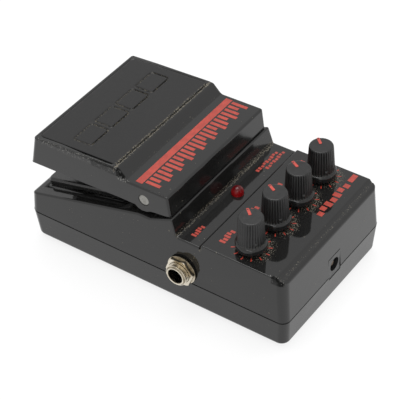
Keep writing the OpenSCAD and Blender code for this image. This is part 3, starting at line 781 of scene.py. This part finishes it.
def pointer_loop(x, a, z, d):
    """The outline of the pointer line, inset by d, at height z. It follows the chamfer of the knob."""
    ring = []
    for px, py in rounded_loop(LINE_HX, LINE_HY, 0.3, LINE_MID, 0, 4):
        px, py = LINE_MID + (px - LINE_MID) * (1 - d / LINE_HX), py * (1 - d / LINE_HY)
        dip = max(0, math.hypot(px, py) - CHAMFER_R) * 0.45
        turned_x = px * math.cos(a) - py * math.sin(a)
        turned_y = px * math.sin(a) + py * math.cos(a)
        ring.append((x + turned_x, KNOB_Y + turned_y, z - dip))
    return ring


def knob(index):
    x = KNOB_X[index - 1]
    name, body = f"control_knob_{index}", f"knob_{index}"
    obj = turned(name, knob_profile(), lambda p: (p[0] + x, p[1] + KNOB_Y, p[2]), FLUTES * 8, radius=fluted)
    finish_piece(obj, knob_plastic(index), body, [body], 60, False)
    a = math.radians(POINTER_ANGLE[index - 1])
    levels = [(KNOB_TOP - 0.3, 0), (KNOB_TOP + 0.08, 0), (KNOB_TOP + 0.15, 0.1)]
    obj = loft(f"pointer_line_{index}", [pointer_loop(x, a, z, d) for z, d in levels])
    finish_piece(obj, POINTER_RED, body, [f"knob_pointer_{index}"], 40)


def lamp():
    profile = [(0, 26), (2.4, 26), (2.45, 26.1), (2.45, 31.6), *arc(0, 31.9, 2.48, 0, 80, 10), (0, 34.38)]
    obj = turned("lamp_dome", profile, lambda p: (p[0], p[1] + LAMP_Y, p[2]), 48)
    finish_piece(obj, lamp_plastic(), "housing", ["lamp"], 50)


# ---------- jacks ----------

NUT_HALF = 5.5      # half the width across the nut's flats


def six_sided(r, h, a):
    """Cuts a round outline down to the nut's hexagon, but leaves its bore round."""
    if r < 5:
        return r
    turn = (a - math.radians(7.5)) % (math.pi / 3) - math.pi / 6
    return min(r, NUT_HALF / math.cos(turn))


def jack(name, side, y):
    def place(p):
        return (side * p[2], y + p[0], JACK_Z + p[1])

    thread = []
    for k in range(THREAD_TURNS):
        h = THREAD_FROM + THREAD_PITCH * k
        thread += [(4.5, h), (4.5, h + 0.1), (4.15, h + 0.25), (4.15, h + 0.31), (4.5, h + 0.47)]
    profile = [(3.2, 30.2), (4.5, 30.2), *thread, (4.32, 38.36), (3.78, 38.9), (3.32, 38.9), (3.2, 38.78)]
    obj = turned(name + "_sleeve", profile, place, 64, closed=True)
    finish_piece(obj, NICKEL, "housing", [name + "_bushing"], 30)
    profile = [(4.55, 34.2), (6.2, 34.2), (6.3, 34.3), (6.3, 34.7), (6.2, 34.8), (4.55, 34.8)]
    obj = turned(name + "_flat_washer", profile, place, 64, closed=True)
    finish_piece(obj, NICKEL, "housing", [name + "_washer"], 30)

    profile = [(4.52, 34.8), (6.1, 34.8), (6.35, 34.92), (6.35, 36.12), (5.95, 36.3)]
    profile += [(4.7, 36.3), (4.52, 36.15)]
    obj = turned(name + "_hex_nut", profile, place, 96, closed=True, radius=six_sided)
    finish_piece(obj, NICKEL, "housing", [name + "_nut"], 20)


# ---------- print ----------

def printed(name, shapes, height, body):
    """Thin raised print. Each shape is a closed outline in X and Y."""
    points, faces = [], []
    for outline in shapes:
        n, k = len(outline), len(points)
        for rise in (0.005, 0.03):
            points += [(x, y, height(y) + rise) for x, y in outline]
        faces += [[k + i for i in range(n)][::-1], [k + n + i for i in range(n)]]
        faces += [[k + i, k + (i + 1) % n, k + n + (i + 1) % n, k + n + i] for i in range(n)]
    obj = mesh_from(name, points, faces)
    finish_piece(obj, RED, body, (), 30, False)


def bar(x0, x1, y0, y1):
    return [(x0, y0), (x1, y0), (x1, y1), (x0, y1)]


def bars(x0, x1, y0, y1, count):
    """A plain row of blocks that stands where a label was."""
    pitch = (x1 - x0) / count
    shapes = []
    for i in range(count):
        low = y0 if i % 3 else y0 + 0.25 * (y1 - y0)
        high = y1 if i % 4 != 1 else y1 - 0.25 * (y1 - y0)
        shapes.append(bar(x0 + pitch * i, x0 + pitch * (i + 0.72), low, high))
    return shapes


def ticks(x):
    """The eleven ticks of a knob's scale, the two at its ends longer."""
    shapes = []
    for k in range(11):
        a = math.radians(-60 + 30 * k)
        c, s = math.cos(a), math.sin(a)
        reach = 7.9 if k in (0, 10) else 7.5
        shapes.append([
            (x - 0.4 + r * c - w * s, KNOB_Y + 0.1 + r * s + w * c)
            for r, w in ((5.9, -0.2), (reach, -0.25), (reach, 0.25), (5.9, 0.2))
        ])
    return shapes


def panel_print():
    shapes = []
    for x in KNOB_X:
        shapes += ticks(x) + bars(x - 4.2, x + 3.8, 26.6, 29.2, 5)
    shapes += bars(-25.5, -3.5, 48.1, 51.3, 7)
    shapes.append(bar(-31.8, -27.2, 48.6, 50.8))
    printed("panel_marks", shapes, lambda y: PANEL_Z, "housing")
    shapes = bars(22.6, 29.4, 15.2, 17.4, 5)
    shapes += bars(-28.6, -14.0, 15.0, 16.5, 9) + bars(-30.2, -17.4, 17.2, 18.7, 8)
    printed("band_marks", shapes, lambda y: BAND_Z, "housing")


def treadle_print():
    def top(y):
        return 46.75 + (y + 11.9) * 0.45 / 19.3

    shapes = [bar(-29.9, 29.7, -8.6, -5.6)]
    for k in range(24):
        x = -29.3 + 2.45 * k
        shapes.append(bar(x, x + 1.5, -5.0, (2.2, -0.4, 1.4)[k % 3]))
    printed("treadle_marks", shapes, top, "treadle")


# ---------- CAD nodes that are shown as they are ----------

CAD_LOOKS = {
    "base_pad": MAT, "base_screws": SCREW, "battery": BATTERY, "battery_snap": MAT,
    "battery_lead_red": LEAD_RED, "battery_lead_black": LEAD_BLACK,
    "foot_switch": SWITCH_BLACK, "switch_plunger": SWITCH_BLACK,
    "hinge_clip_right": WIRE, "hinge_clip_left": WIRE,
    "main_board": BOARD, "board_screws": SCREW, "circuit_parts": PARTS, "board_link": MOULDED,
    "pot_board": BOARD, "lamp_spacer": MOULDED,
    "power_inlet": MOULDED, "power_inlet_pin": INLET_PIN,
    "input_jack": JACK_BODY, "output_left_jack": JACK_BODY, "output_right_jack": JACK_BODY,
}


def cad_nodes():
    looks = dict(CAD_LOOKS)
    for i in range(1, 5):
        looks[f"pot_{i}"], looks[f"pot_shaft_{i}"] = POT, SHAFT
    soft = {"base_pad": 0.3, "switch_plunger": 0.35, "power_inlet": 0.05}
    for node, material in looks.items():
        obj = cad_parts[node]
        obj.data.materials.clear()
        obj.data.materials.append(material)
        if node in soft:
            m = obj.modifiers.new("round", "BEVEL")
            m.limit_method, m.angle_limit = "ANGLE", math.radians(40)
            m.width, m.segments = soft[node] * MM, 2


# ---------- stage ----------

FLOOR_HALF = 4000
GLOW_FROM, GLOW_TO = 0.05, 0.09     # metres along Y
GLOW_NEAR, GLOW_FAR = 0.8, 0.9
LIGHTS = (("key", (-0.08, -0.14, 1.0), 0.6, 5.0), ("fill", (0.9, 0.5, 0.9), 0.3, 1.5))
AIM = Vector((0, 0, 0.02))


def floor():
    """A white floor that glows, more so beyond the +Y end, as a lit sweep of white paper does."""
    corners = [(sx * FLOOR_HALF, sy * FLOOR_HALF, -LIFT) for sx, sy in ((-1, -1), (1, -1), (1, 1), (-1, 1))]
    obj = mesh_from("floor", corners, [[0, 1, 2, 3]])
    white = bpy.data.materials.new("floor_white")
    white.use_nodes = True
    tree = white.node_tree
    s = tree.nodes["Principled BSDF"]
    s.inputs["Base Color"].default_value = rgb(0.16, 0.16, 0.16)
    s.inputs["Roughness"].default_value = 0.9
    s.inputs["Emission Color"].default_value = rgb(1, 1, 1)
    split = tree.nodes.new("ShaderNodeSeparateXYZ")
    glow = tree.nodes.new("ShaderNodeMapRange")
    tree.links.new(tree.nodes.new("ShaderNodeTexCoord").outputs["Object"], split.inputs[0])
    tree.links.new(split.outputs[1], glow.inputs[0])
    for socket, v in zip(glow.inputs[1:5], (GLOW_FROM, GLOW_TO, GLOW_NEAR, GLOW_FAR)):
        socket.default_value = v
    tree.links.new(glow.outputs[0], s.inputs["Emission Strength"])
    obj.data.materials.append(white)


def stage():
    floor()
    world = bpy.data.worlds.new("studio")
    bpy.context.scene.world = world
    world.use_nodes = True
    back = world.node_tree.nodes["Background"]
    back.inputs[0].default_value = rgb(1, 1, 1)
    back.inputs[1].default_value = 0.95
    for name, place, size, power in LIGHTS:
        light = bpy.data.lights.new(name, "AREA")
        light.shape, light.size, light.energy = "SQUARE", size, power
        obj = bpy.data.objects.new(name, light)
        obj.location = place
        obj.rotation_mode = "QUATERNION"
        obj.rotation_quaternion = (AIM - Vector(place)).to_track_quat("-Z", "Y")
        bpy.context.scene.collection.objects.link(obj)
    bpy.context.scene.view_settings.view_transform = "Standard"


LENS, SENSOR = 142.71, 36.0
CAMERA_AZIMUTH, CAMERA_HEIGHT, CAMERA_ROLL = (math.radians(d) for d in (126.76, 41.03, -2.732))
CAMERA_AWAY = 618.19
LOOK_AT = Vector((0.848, -0.871, 20 + LIFT))


def camera():
    data = bpy.data.cameras.new("camera")
    data.lens, data.sensor_width = LENS, SENSOR
    data.clip_start, data.clip_end = 0.05, 20.0
    obj = bpy.data.objects.new("camera", data)
    bpy.context.scene.collection.objects.link(obj)
    a, e, roll = CAMERA_AZIMUTH, CAMERA_HEIGHT, CAMERA_ROLL
    back = Vector((math.sin(a) * math.cos(e), -math.cos(a) * math.cos(e), math.sin(e)))
    right = (-back).cross(Vector((0, 0, 1))).normalized()
    up = right.cross(-back)
    x = right * math.cos(roll) + up * math.sin(roll)
    y = -right * math.sin(roll) + up * math.cos(roll)
    m = Matrix((x, y, back)).transposed().to_4x4()
    m.translation = (LOOK_AT + back * CAMERA_AWAY) * MM
    obj.matrix_world = m
    bpy.context.scene.camera = obj


chassis()
tray()
cover()
treadle()
pad()
springs()
hinge_pins()
for i in range(1, 5):
    knob(i)
lamp()
for jack_name, (jack_side, jack_y) in JACKS.items():
    jack(jack_name, jack_side, jack_y)
panel_print()
treadle_print()
cad_nodes()
stage()
camera()
